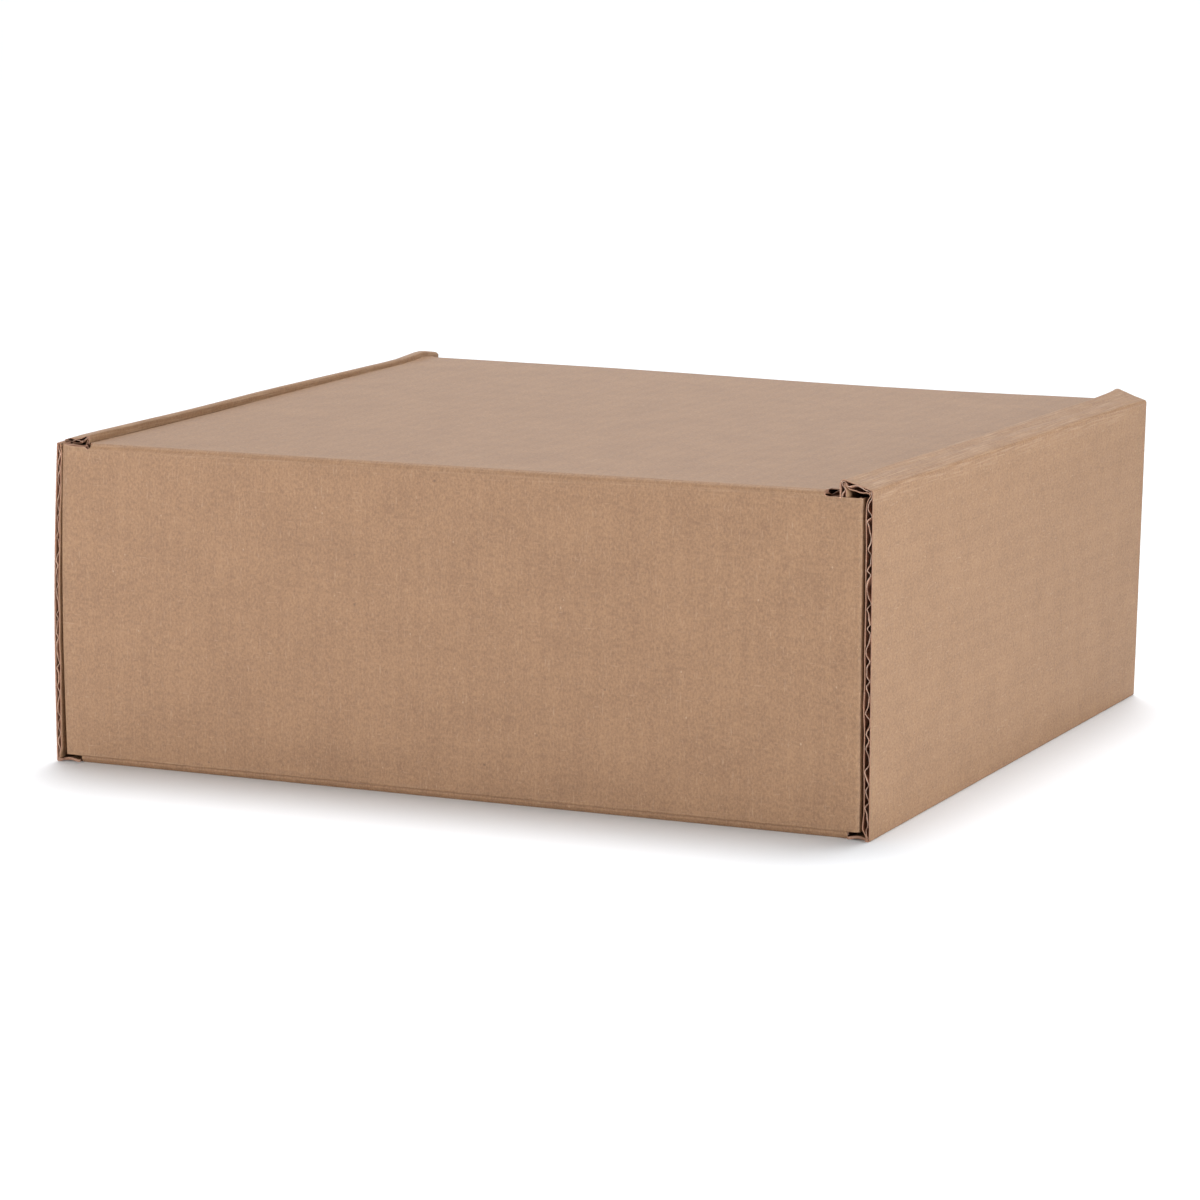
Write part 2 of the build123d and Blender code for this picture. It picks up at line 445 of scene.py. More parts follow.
def corrugate(board, across, along, place, thickness, keep, seed, ends, wear, offset=(0.0, 0.0)):
    """The two liners and the waved medium of one run of board.

    across and along are the distances sampled across and along the flutes. place(u, v) gives outer
    points and normals, thickness(u, v) the board's thickness, keep(u, v) the panel's outline, and
    ends(v) is 1 at a cut end of the flutes and fades to 0 away from it, signed towards the end.
    wear(u, v) is how creased the outer face is, along and across the flutes; across them it also
    holds a painted highlight on the end walls' foot lip.
    """
    sheets = SheetMesh()
    fine = board.pitch / STEPS_PER_FLUTE
    width = across[-1] - across[0]
    waves = np.concatenate([np.arange(0, width, fine), across - across[0]])
    waves = tidy_samples(waves, width, fine / 3) + across[0]
    few = along[::2] if along[-1] == along[::2][-1] else np.append(along[::2], along[-1])
    few = np.unique(np.concatenate([few, along[:3], along[-3:]]))

    def grids(us, vs):
        u, v = np.meshgrid(us, vs, indexing="ij")
        middle = keep((u[:-1, :-1] + u[1:, 1:]) / 2, (v[:-1, :-1] + v[1:, 1:]) / 2)
        return u, v, middle

    def lay(u, v, top, bottom, ragged, kept, slots, worn=None):
        end = ends(v)
        point, normal = place(u, v - end * ragged)
        flat = np.stack([u + offset[0], v + offset[1]], -1)
        sheets.add(point - normal * top[..., None], point - normal * bottom[..., None],
                   kept, flat, slots, worn)

    def crushed(u, v):
        deep = thickness(u, v)
        pinch = np.abs(ends(v)) * (0.17 + 0.09 * ripple(u / (2.4 * MM), seed)) * board.thickness
        pinch = np.where(deep > 0.6 * board.thickness, pinch, 0)
        return np.maximum(deep - pinch, 2.6 * board.liner)

    u, v, kept = grids(across, along)
    deep = crushed(u, v)
    skin = np.full(u.shape, board.liner)
    lay(u, v, 0 * skin, skin, 0.0, kept, (FACE, INSIDE, EDGE), np.stack(wear(u, v), -1))
    fray = (0.18 + 0.16 * ripple(u / (1.7 * MM), seed + 1)) * MM
    lay(u, v, deep - board.liner, deep, fray, kept, (INSIDE, FACE, EDGE))

    u, v, kept = grids(waves, few)
    near = np.abs(ends(v))
    sheet = board.medium * (1 + 0.25 * near * (1 + ripple(u / (1.9 * MM), seed + 6)))
    room = np.maximum(crushed(u, v) - 2 * board.liner - sheet - 0.03 * MM, 0.0)
    phase = 2 * math.pi * u / board.pitch + 0.35 * ripple(u / (14 * MM), seed + 2)
    phase = phase + near * 1.5 * ripple(u / (2.2 * MM), seed + 3)
    sag = 1 - 0.34 * near * (1 + ripple(u / (3.3 * MM), seed + 4)) / 2
    high = board.liner + 0.015 * MM + room * (0.5 + 0.5 * np.cos(phase) * sag)
    fray = (0.30 + 0.34 * ripple(u / (1.1 * MM), seed + 5)) * MM
    lay(u, v, high, high + sheet, fray, kept, (INSIDE, INSIDE, CUT))
    return sheets


def thinned(board, distance, crushed, reach=None):
    """Thickness of the board that far from a fold crushed to the given thickness."""
    reach = reach or board.crush_reach
    near = 1 - smooth_step(np.abs(distance) / reach)
    return board.thickness - (board.thickness - crushed) * near


def cut_ends(low, high, reach=1.6 * MM):
    """Signed closeness to the cut ends at low and high."""
    def closeness(v):
        return np.exp(-np.abs(v - high) / reach) - np.exp(-np.abs(v - low) / reach)
    return closeness


# How far the hand-folded box stands off a true block, in millimetres: right, back and up at each
# corner, for the foot and for the top of the walls.
LOOSE_CORNERS = {
    (-1, -1, 0): (-1.3, -0.3, 0.0),
    (-1, -1, 1): (0.7, 0.6, 0.3),
    (-1, 1, 0): (0.2, 0.1, 0.0),
    (-1, 1, 1): (-0.5, -0.2, -0.2),
    (1, -1, 0): (0.3, -0.5, 0.0),
    (1, -1, 1): (0.0, 0.5, 1.3),
    (1, 1, 0): (0.0, -0.3, 0.0),
    (1, 1, 1): (2.5, 0.1, -1.0),
}


def relax(points):
    """The small lean, bow and sag that hand folding leaves in the box."""
    x, y, z = points.T
    shares = ((x + SIDE) / (2 * SIDE), (y - REAR) / (FRONT - REAR), z / LID_TOP)
    moved = points.copy()
    for corner, pull in LOOSE_CORNERS.items():
        weight = np.ones(len(points))
        for share, high in zip(shares, corner):
            weight = weight * (share if high > 0 else 1 - share)
        moved += weight[:, None] * np.array(pull) * MM
    from_hinge, from_tuck = y - REAR, FRONT - y
    # The left wall bows out beside the hinge wall
    upright = np.sin(np.pi * np.clip(z / LID_TOP, 0, 1))
    near = np.exp(-from_hinge / (45 * MM))
    outer_left = smooth_step((-x - SIDE + 7 * MM) / (3 * MM))
    moved[:, 0] -= 1.1 * MM * upright * near * outer_left
    # The left rim is pressed down at the hinge wall and puffs up towards the back
    past_lid = LID_SIDE + 0.6 * MM
    rim = smooth_step((z - RIDGE + 5.0 * MM) / (3 * MM)) * (x < -past_lid)
    rim = rim * (0.35 + 0.65 * smooth_step((x + SIDE - 0.5 * MM) / (7 * MM)))
    puff = 0.1 - 0.75 * (1 - smooth_step((from_hinge - 60 * MM) / (90 * MM)))
    puff = puff - 1.7 * np.exp(-from_hinge / (6 * MM))
    puff = puff + 1.2 * hump(y, FRONT - 14 * MM, 9 * MM) - 0.7 * np.exp(-from_tuck / (5 * MM))
    moved[:, 2] += rim * puff * MM
    # The far end of the right rim is pinched, its ridge up and its outer edge down
    pinched = smooth_step((z - RIDGE + 6.0 * MM) / (3 * MM)) * (x > past_lid)
    pinched = pinched * np.exp(-from_tuck / (14 * MM))
    outwards = smooth_step((x - SIDE + 14 * MM) / (12 * MM))
    moved[:, 0] -= 1.6 * MM * pinched * (1 - outwards)
    moved[:, 2] += (0.75 - 1.15 * outwards) * MM * pinched
    return moved


def lift_lid(x, y):
    """How far the lid stays up towards its free edge, most on the left and least in the middle."""
    back = smooth_step((y - REAR) / (FRONT - REAR)) * (y > REAR)
    fall = 1.4 * smooth_step((x + 80 * MM) / (130 * MM))
    rise = 0.4 * smooth_step((x - 80 * MM) / (50 * MM))
    return back * (1.75 - fall + rise) * MM


# ---------------------------------------------------------------- materials


class Nodes:
    """A short way to place and join shader nodes. Patterns are in millimetres of the flat blank."""

    def __init__(self, name):
        self.material = bpy.data.materials.new(name)
        self.material.use_nodes = True
        self.tree = self.material.node_tree
        self.tree.nodes.clear()
        output = self.add("OutputMaterial")
        self.shader = self.add("BsdfPrincipled")
        self.fill(output, Surface=self.shader.outputs["BSDF"])

    def feed(self, socket, value):
        if isinstance(value, bpy.types.NodeSocket):
            self.tree.links.new(value, socket)
        else:
            socket.default_value = value

    def fill(self, node, **inputs):
        """Feeds the named inputs, with _ for each space in a name."""
        for name, value in inputs.items():
            if value is not None:
                self.feed(node.inputs[name.replace("_", " ")], value)
        return node

    def add(self, kind, **inputs):
        return self.fill(self.tree.nodes.new("ShaderNode" + kind), **inputs)

    def bump(self, strength, distance, height, under=None):
        """The normal that height gives, over another normal if there is one."""
        made = self.add("Bump", Strength=strength, Distance=distance, Height=height, Normal=under)
        return made.outputs["Normal"]

    def math(self, operation, a, b=0.0, clamp=False):
        made = self.add("Math")
        made.operation = operation
        made.use_clamp = clamp
        self.feed(made.inputs[0], a)
        self.feed(made.inputs[1], b)
        return made.outputs[0]

    def surface(self, colour, roughness, specular, normal=None):
        """Feeds the shader and gives the finished material."""
        self.fill(self.shader, Base_Color=colour, Roughness=roughness,
                  Specular_IOR_Level=specular, Normal=normal)
        return self.material

    def total(self, *terms):
        """The sum of values, each times its weight."""
        parts = [self.math("MULTIPLY", value, weight) for value, weight in terms]
        added = parts[0]
        for part in parts[1:]:
            added = self.math("ADD", added, part)
        return added

    def mix(self, share, a, b):
        made = self.add("Mix")
        made.data_type = "RGBA"
        self.feed(made.inputs["Factor"], share)
        for socket, value in zip((s for s in made.inputs if s.type == "RGBA"), (a, b)):
            self.feed(socket, value if isinstance(value, bpy.types.NodeSocket) else (*value, 1.0))
        return next(s for s in made.outputs if s.type == "RGBA")

    def ramp(self, value, low, high):
        made = self.add("MapRange", Value=value, From_Min=low, From_Max=high)
        made.clamp = True
        return made.outputs["Result"]

    def blank(self, scale=(1.0, 1.0, 1.0), turn=0.0):
        """The flat blank in millimetres, stretched and turned."""
        uv = self.add("UVMap")
        uv.uv_map = "blank"
        place = self.add("Mapping", Vector=uv.outputs["UV"], Rotation=(0.0, 0.0, turn),
                         Scale=tuple(1000 * s for s in scale))
        return place.outputs["Vector"]

    def noise(self, vector, scale, detail=3.0, rough=0.55, warp=0.0):
        made = self.add("TexNoise", Vector=vector, Scale=scale, Detail=detail, Roughness=rough,
                        Distortion=warp)
        return made.outputs["Fac"]

    def specks(self, vector, scale, size, rare):
        """Small spots of about the given share of a cell, in the given share of cells."""
        made = self.add("TexVoronoi", Vector=vector, Scale=scale)
        split = self.add("SeparateColor", Color=made.outputs["Color"])
        chosen = self.math("GREATER_THAN", split.outputs["Red"], 1 - rare)
        reach = self.math("MULTIPLY", split.outputs["Green"], size)
        away = self.math("DIVIDE", made.outputs["Distance"], reach)
        spot = self.math("SUBTRACT", 1.0, away, True)
        return self.math("MULTIPLY", chosen, spot)


def kraft_liner(finish, board):
    """Uncoated kraft: clouds, fibres, specks, and faint lines over the flutes."""
    n = Nodes("kraft_liner")
    flat = n.blank()
    clouds = n.noise(flat, 0.055, 3.0, 0.6)
    mottle = n.noise(flat, 0.42, 4.0, 0.62, 0.4)
    grain = n.noise(n.blank((1.15, 0.75, 1.0)), 1.15, 3.0, 0.6)
    fine = n.noise(flat, 2.8, 2.0, 0.6)
    strands = [n.noise(n.blank((s, t, 1.0), turn), 1.0, 2.0, 0.5, 0.6)
               for s, t, turn in ((1.6, 0.22, 0.15), (1.5, 0.25, -0.7), (0.24, 1.7, 0.5))]
    split = n.add("SeparateXYZ", Vector=flat)
    wave = n.math("SINE", n.math("MULTIPLY", split.outputs["X"], 2 * math.pi / (board.pitch / MM)))

    tone = n.total((clouds, 0.30), (mottle, 0.45), (grain, 0.80), (fine, 0.35), (wave, 0.018))
    colour = n.mix(n.ramp(tone, 0.76, 1.14), finish.kraft_dark, finish.kraft)
    slanted = n.math("MAXIMUM", n.ramp(strands[1], 0.63, 0.82), n.ramp(strands[2], 0.64, 0.82))
    pale = n.math("MAXIMUM", n.ramp(strands[0], 0.62, 0.80), slanted)
    colour = n.mix(n.math("MULTIPLY", pale, 0.30), colour, finish.fibre)
    # Creasing lifts pale fibres in streaks that follow the fold; on the end walls' foot lip the
    # streaks across the flutes are also a painted highlight
    for name, stretch in (("wear_along", (1.7, 0.045, 1.0)), ("wear_and_highlight_across", (0.05, 1.7, 1.0))):
        mark = n.add("Attribute")
        mark.attribute_name = name
        streak = n.ramp(n.noise(n.blank(stretch), 1.0, 3.0, 0.6), 0.50, 0.72)
        lifted = n.math("MULTIPLY", mark.outputs["Fac"], streak)
        colour = n.mix(n.math("MULTIPLY", lifted, 0.45, True), colour, finish.fibre)
    flecks = n.specks(n.blank((1.0, 0.7, 1.0), 0.4), 0.34, 0.15, 0.22)
    colour = n.mix(n.math("MULTIPLY", flecks, 0.75), colour, finish.fibre)
    motes = n.specks(n.blank((0.8, 1.0, 1.0), -0.3), 0.17, 0.11, 0.30)
    colour = n.mix(n.math("MULTIPLY", motes, 0.8), colour, finish.mote)
    roughness = n.math("ADD", 0.60, n.math("MULTIPLY", mottle, 0.16))
    height = n.total((grain, 0.45), (mottle, 0.35), *((strand, 0.30) for strand in strands))
    fibres = n.bump(0.35, 0.05 * MM, height)
    return n.surface(colour, roughness, 0.60, n.bump(0.5, 0.035 * MM, wave, fibres))


def flute_paper(finish):
    """The waved medium and the hidden faces of the liners: darker, coarser paper."""
    n = Nodes("flute_paper")
    flat = n.blank()
    cloud = n.noise(flat, 0.7, 4.0, 0.65)
    strand = n.noise(n.blank((2.4, 0.5, 1.0), 0.2), 1.0, 2.0, 0.6)
    lighter = tuple(min(1.0, 1.5 * c) for c in finish.medium)
    colour = n.mix(n.ramp(cloud, 0.30, 0.75), finish.medium, lighter)
    roughness = n.math("ADD", 0.82, n.math("MULTIPLY", strand, 0.12))
    return n.surface(colour, roughness, 0.25, n.bump(0.5, 0.06 * MM, strand))


def torn_edge(finish, name, worn):
    """Cut edges of the sheets: pale, open fibres with darker nicks. worn is the darker share."""
    n = Nodes(name)
    flat = n.blank()
    nick = n.noise(flat, 1.1, 4.0, 0.7)
    hair = n.noise(n.blank((4.0, 4.0, 1.0), 0.3), 1.0, 3.0, 0.7)
    colour = n.mix(n.ramp(nick, 0.30 + 0.3 * worn, 0.50 + 0.3 * worn), finish.medium, finish.cut)
    roughness = n.math("ADD", 0.86, n.math("MULTIPLY", nick, 0.1))
    return n.surface(colour, roughness, 0.2, n.bump(0.6, 0.08 * MM, hair))


def board_materials():
    """Liner, medium and the two kinds of cut edge, made once and shared by every panel."""
    finish = bpy.context.scene.mailer_finish
    board = bpy.context.scene.mailer_board
    made = bpy.data.materials
    return [
        made.get("kraft_liner") or kraft_liner(finish, board),
        made.get("flute_paper") or flute_paper(finish),
        made.get("torn_edge") or torn_edge(finish, "torn_edge", 0.15),
        made.get("liner_edge") or torn_edge(finish, "liner_edge", 0.85),
    ]


def settle(piece, body, node):
    """The finished piece rides on its body and stands for its node."""
    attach(piece, body)
    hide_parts(node)


# ---------------------------------------------------------------- pieces


SLOT_PLAY = 0.5 * MM  # each tab to the edge of its slot
CREASED = 1.4 * MM  # board crushed at the lid's crease
HEM = 0.85 * MM  # board crushed in the corner notches of the base
BASE_INSET = 4.4 * MM  # end of the box to the end of the base, where the end wall's foot begins


class MAILER_OT_side_walls(bpy.types.Operator):
    """Base, outer side walls, rims and inner side walls, as the one strip that they are"""

    bl_idname = "mailer.side_walls"
    bl_label = "Base and Side Walls"

    def execute(self, context):
        board = context.scene.mailer_board
        fold = context.scene.mailer_fold
        inside = SIDE - fold.rim_width
        foot = fold.layer_gap
        # Folds are rounded, so their corners lie a little outside the finished edges
        crease = RIDGE - fold.rim_rise + 0.35 * MM
        ridge = RIDGE + 0.8 * MM
        ridge_in = inside - 0.9 * MM
        way = Outline(
            [(-inside, foot), (-ridge_in, ridge), (-SIDE, crease), (-SIDE, 0.0),
             (SIDE, 0.0), (SIDE, crease), (ridge_in, ridge), (inside, foot)],
            [1.6 * MM, 1.3 * MM, 0.6 * MM, 0.6 * MM, 1.3 * MM, 1.6 * MM], 1)
        shoulder = RIDGE - fold.rim_rise - board.thickness
        tab_top = board.thickness + fold.layer_gap  # one board and its gap, as at the end walls
        slot_in = inside - SLOT_PLAY
        slot_out = inside + board.thickness + SLOT_PLAY
        notch = SIDE - fold.foot_notch
        pressed = shoulder + 2.3 * MM
        marks = [way.station(0, tab_top - foot), way.station(0, pressed - foot),
                 way.station(6, ridge - shoulder), way.station(6, ridge - tab_top)]
        for start, end in ((way.folds[0][0], way.folds[1][0]), (way.folds[4][0], way.folds[5][0])):
            marks += list(np.arange(start - 3 * MM, end + 3 * MM, 0.45 * MM))
        for place in (notch, slot_in, slot_out):
            marks += [way.station(3, SIDE - place), way.station(3, SIDE + place)]
        tabs = [sign * fold.tab_spacing / 2 + half * fold.tab_length / 2
                for sign in (-1, 1) for half in (-1, 1)]
        slots = [t + h * SLOT_PLAY for t, h in zip(tabs, (-1, 1, -1, 1))]
        wall_ends = [REAR + tab_top, FRONT - tab_top]
        torn = [REAR + step * MM for step in (1.2, 2.0, 2.8, 3.6, 4.4, 5.2, 6.0)]
        base_ends = [REAR + BASE_INSET, FRONT - BASE_INSET]
        corner_ends = [REAR + 1.3 * MM, FRONT - 1.3 * MM]
        across = way.samples(9 * MM, marks)
        along = end_samples(REAR, FRONT, 15 * MM,
                            tabs + slots + wall_ends + base_ends + corner_ends + torn)

        def keep(u, v):
            points, normals = way.at(u)
            x, z = np.abs(points[..., 0]), points[..., 1]
            level = normals[..., 1] < -0.9
            inner = (normals[..., 0] * points[..., 0] < 0) & (np.abs(normals[..., 0]) > 0.9)
            from_tab = np.abs(np.abs(v) - fold.tab_spacing / 2)
            in_tab = from_tab < fold.tab_length / 2
            in_slot = from_tab < fold.tab_length / 2 + SLOT_PLAY
            kept = np.ones(u.shape, bool)
            kept &= ~(level & (x < notch) & (np.abs(v) > base_ends[1]))
            kept &= ~(level & (x >= notch) & (x < SIDE - 2 * MM) & (np.abs(v) > corner_ends[1]))
            kept &= ~(level & (x > slot_in) & (x < slot_out) & in_slot)
            # The left rim is torn back where it meets the hinge wall
            on_rim = (u > way.folds[0][0] - 4 * MM) & (u < way.folds[1][0] + 0.3 * MM)
            outward = np.clip((u - way.folds[0][0]) / (way.folds[1][0] - way.folds[0][0]), 0, 1)
            tear = (2.8 + 2.4 * outward + ripple(u / (1.6 * MM), 8)) * MM
            kept &= ~(on_rim & (v < REAR + tear))
            top = np.where((points[..., 0] < 0) & (v < 0), pressed, shoulder)
            kept &= ~(inner & (z < top) & (np.abs(v) > wall_ends[1]))
            kept &= ~(inner & (z < tab_top) & ~in_tab)
            return kept

        def thickness(u, v):
            deep = np.full(u.shape, float(board.thickness))
            for where, radius in way.folds:
                deep = np.minimum(deep, thinned(board, u - where, max(0.85 * radius, 0.75 * MM)))
            # Pressed flat where the left rim meets the hinge wall
            near = np.exp(-(v - REAR) / (4 * MM))
            deep = deep * (1 - near * (0.62 * (u < way.folds[1][0]) + 0.16 * (u < way.folds[2][0])))
            # Only a crushed hem of base is left in the corner notches
            points, normals = way.at(u)
            x = np.abs(points[..., 0])
            in_notch = (normals[..., 1] < -0.9) & (x > notch - 0.5 * MM)
            whole = smooth_step((FRONT - np.abs(v) - 7 * MM) / (3 * MM))
            hem = HEM + (board.thickness - HEM) * whole
            return np.where(in_notch, np.minimum(deep, hem), deep)

        def wear(u, v):
            rim = (1 - smooth_step((u - way.folds[1][0] - 2 * MM) / (4 * MM))
                   + smooth_step((u - way.folds[4][0] + 6 * MM) / (4 * MM)))
            return rim, 0 * u

        def place(u, v):
            points, normals = way.at(u)
            outward = np.stack([normals[..., 0], 0 * u, normals[..., 1]], -1)
            spots = np.stack([points[..., 0], v, points[..., 1]], -1)
            # Lengthwise wrinkles over the rims, and a wavy hem of base liner in the corner notches
            on_rim = smooth_step((normals[..., 1] - 0.55) / 0.3)
            wrinkle = ripple(u / (0.62 * MM) + v / (55 * MM), 3)
            wrinkle = wrinkle * (0.6 + 0.4 * ripple(v / (21 * MM), 5))
            spots += outward * (on_rim * 0.10 * MM * wrinkle)[..., None]
            x = np.abs(points[..., 0])
            in_notch = hump(x, SIDE - 4.5 * MM, 2.2 * MM) * (normals[..., 1] < -0.9)
            in_notch = in_notch * np.exp(-(FRONT - np.abs(v)) / (4 * MM))
            spots[..., 2] += in_notch * 0.9 * MM
            return spots, outward

        sheets = corrugate(board, across, along, place, thickness, keep, 1,
                           cut_ends(REAR, FRONT), wear)
        settle(sheets.build("base_and_side_walls"), "tray", "tray")
        return {"FINISHED"}


def end_wall(context, name, crease_ends, seed):
    """A wall across the box with a corner flap folded from each end.

    crease_ends are the distances from the middle to the left and right ends of the lid's crease, or
    None for the wall at the other end of the box, turned half round.
    """
    board = context.scene.mailer_board
    fold = context.scene.mailer_fold
    flap_side = SIDE - board.thickness - fold.layer_gap
    shoulder = RIDGE - fold.rim_rise - 2.2 * MM
    flap_top = shoulder - board.thickness
    hinged = crease_ends is not None
    top = LID_TOP - fold.crease_radius if hinged else shoulder
    squeezed = 0.9 * MM if hinged else 0.0
    level = Outline(
        [(-flap_side - squeezed, REAR + fold.flap_length), (-flap_side - squeezed, REAR),
         (flap_side, REAR), (flap_side, REAR + fold.flap_length)],
        [1.8 * MM - squeezed, 1.8 * MM], 1)
    upright = Outline(
        [(REAR + BASE_INSET, 0.0), (REAR + fold.foot_run, 0.0), (REAR, fold.foot_rise),
         (REAR, top)],
        [1.6 * MM, 0.7 * MM], -1)
    foot = upright.station(2, 0.0)
    foot_end = upright.station(2, 0.1 * MM)
    rise = math.hypot(fold.foot_run, fold.foot_rise)
    at_height = upright.length - top
    middle = level.station(1, flap_side + squeezed)
    notch = SIDE - fold.foot_notch
    marks_u = [middle - notch, middle + notch, level.station(0, fold.flap_length - 6 * MM),
               level.station(2, 6 * MM)]
    if hinged:
        marks_u += [middle - crease_ends[0], middle + crease_ends[1]]
    marks_v = [foot_end, at_height + flap_top, at_height + min(shoulder, top), foot]
    near_foot = foot + np.arange(-3.4, 2.6, 0.22) * MM
    across = level.samples(4 * MM, marks_u)
    along = upright.samples(9 * MM, np.concatenate([marks_v, near_foot]))

    def keep(u, v):
        x = u - middle
        on_wall = (u > level.station(0, fold.flap_length - 4 * MM)) & (u < level.station(2, 4 * MM))
        kept = (v > foot_end) | (np.abs(x) < notch)
        kept &= (v < at_height + flap_top) | on_wall
        if hinged:
            crease = (x > -crease_ends[0]) & (x < crease_ends[1])
            kept &= (v < at_height + shoulder) | crease
        return kept

    def thickness(u, v):
        deep = np.full(u.shape, float(board.thickness))
        for where, _ in level.folds:
            deep = np.minimum(deep, thinned(board, u - where, 1.5 * MM))
        below = np.abs(u - middle) < notch
        crushed = thinned(board, v - foot + rise / 2, 1.3 * MM, rise + 1.5 * MM)
        deep = np.where(below, np.minimum(deep, crushed), deep)
        if hinged:
            x = u - middle
            crease = (x > -crease_ends[0] - 1 * MM) & (x < crease_ends[1] + 1 * MM)
            creased = np.minimum(deep, thinned(board, v - upright.length, CREASED))
            deep = np.where(crease, creased, deep)
        return deep

    def wear(u, v):
        x = u - middle
        # The pale line along the foot lip is partly torn, creased fibres and partly a painted
        # highlight where the lip's edge catches the light
        lip = hump(v, foot + 0.3 * MM, 0.5 * MM) * (0.6 + 0.4 * ripple(u / (5 * MM), seed))
        crease = 0.45 * smooth_step((v - upright.length + 3 * MM) / (3 * MM)) if hinged else 0 * v
        ends = 0.3 * hump(np.abs(x), level.station(1, 0) - middle, 1.5 * MM)
        return ends * (np.abs(x) > flap_side - 6 * MM), lip + crease

    def place(u, v):
        points_u, normals_u = level.at(u)
        points_v, normals_v = upright.at(v)
        level_share = -normals_v[..., 0]
        outward = np.stack([normals_u[..., 0] * level_share, normals_u[..., 1] * level_share,
                            normals_v[..., 1]], -1)
        spots = np.stack([points_u[..., 0], points_u[..., 1] + points_v[..., 0] - REAR,
                          points_v[..., 1]], -1)
        rough = ripple(u / (11 * MM), seed) + 0.8 * ripple(u / (2.6 * MM), seed + 1)
        lip = 0.32 * hump(v, foot + 0.50 * MM, 0.50 * MM) * (1 + 0.28 * rough)
        groove = 0.75 * hump(v, foot - 0.75 * MM, 0.5 * MM)
        on_wall = np.abs(u - middle) < flap_side - 2 * MM
        belly = 0.25 * ripple(u / (60 * MM), seed) * ripple(v / (40 * MM), seed + 1)
        spots += outward * ((lip - groove) * on_wall * MM + belly * MM * on_wall)[..., None]
        if hinged:
            left = spots[..., 0] < 0
            # The left corner is pushed out against the cut edge of the side wall,
            jog = squeezed * smooth_step((spots[..., 1] - REAR - 1 * MM) / (5 * MM))
            spots[..., 0] += np.where(left & (spots[..., 0] < 0.9 * -SIDE), jog, 0.0)
            # it leans away from that wall towards the foot,
            lean = 1.3 * MM - 1.7 * MM * spots[..., 2] / LID_TOP
            corner = smooth_step((-spots[..., 0] - SIDE + 24 * MM) / (16 * MM))
            spots[..., 0] += lean * corner * np.exp(-(spots[..., 1] - REAR) / (30 * MM))
            # and its shoulder is squeezed up under the rim
            past_crease = -spots[..., 0] - crease_ends[0]
            raised = 1.9 * MM * smooth_step((past_crease - 0.3 * MM) / (1.2 * MM))
            raised = raised * smooth_step((v - at_height - flap_top) / (shoulder - flap_top))
            spots[..., 2] += raised
        return spots, outward

    sheets = corrugate(board, across, along, place, thickness, keep, seed,
                       cut_ends(-1.0, at_height + shoulder), wear, (0.9 + seed * 0.1, 0.2))
    if not hinged:
        sheets.points = [np.stack([-p[:, 0], -p[:, 1], p[:, 2]], 1) for p in sheets.points]
    settle(sheets.build(name), "tray", "tray_ends")


class MAILER_OT_end_walls(bpy.types.Operator):
    """Hinge wall and tuck wall, each with its two corner flaps"""

    bl_idname = "mailer.end_walls"
    bl_label = "Hinge Wall and Tuck Wall"

    def execute(self, context):
        fold = context.scene.mailer_fold
        end_wall(context, "hinge_wall", (fold.crease_left, fold.crease_right), 2)
        end_wall(context, "tuck_wall", None, 4)
        return {"FINISHED"}


class MAILER_OT_lid_crease(bpy.types.Operator):
    """The crushed crease that joins the lid to the hinge wall"""

    bl_idname = "mailer.lid_crease"
    bl_label = "Lid Crease"

    def execute(self, context):
        fold = context.scene.mailer_fold
        radius = fold.crease_radius
        bend = Outline([(REAR, LID_TOP - radius), (REAR, LID_TOP), (REAR + radius, LID_TOP)],
                       [radius * 0.999], -1)
        along = np.linspace(0.0, bend.length, 11)
        across = np.linspace(-fold.crease_left, fold.crease_right, 70)
        u, v = np.meshgrid(across, along, indexing="ij")
        points, normals = bend.at(v)
        # The ends of the crease are rounded in by the relief slots
        share = (v / bend.length - 0.5) * 2
        inward = 0.9 * MM * np.sqrt(np.clip(1 - share ** 2, 0, 1))
        x = u * (1 - inward / np.where(u < 0, fold.crease_left, fold.crease_right))
        spots, outward = lengthwise(x, points, normals)
        dent = 0.10 * MM * hump(share, 0.35, 0.25) + 0.05 * MM * ripple(u / (9 * MM), 7)
        edge = np.sin(np.pi * np.clip((share + 1) / 2, 0, 1))
        spots -= outward * (dent * edge)[..., None]
        wear = np.stack([0 * u, 0.45 + 0.3 * hump(share, 0.5, 0.3)], -1)
        sheets = SheetMesh()
        whole = np.ones((len(across) - 1, len(along) - 1), bool)
        sheets.add(spots, spots - outward * CREASED, whole,
                   np.stack([u + 1.3, v], -1), (FACE, INSIDE, EDGE), wear)
        piece = sheets.build("lid_crease")
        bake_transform(piece)
        return {"FINISHED"}


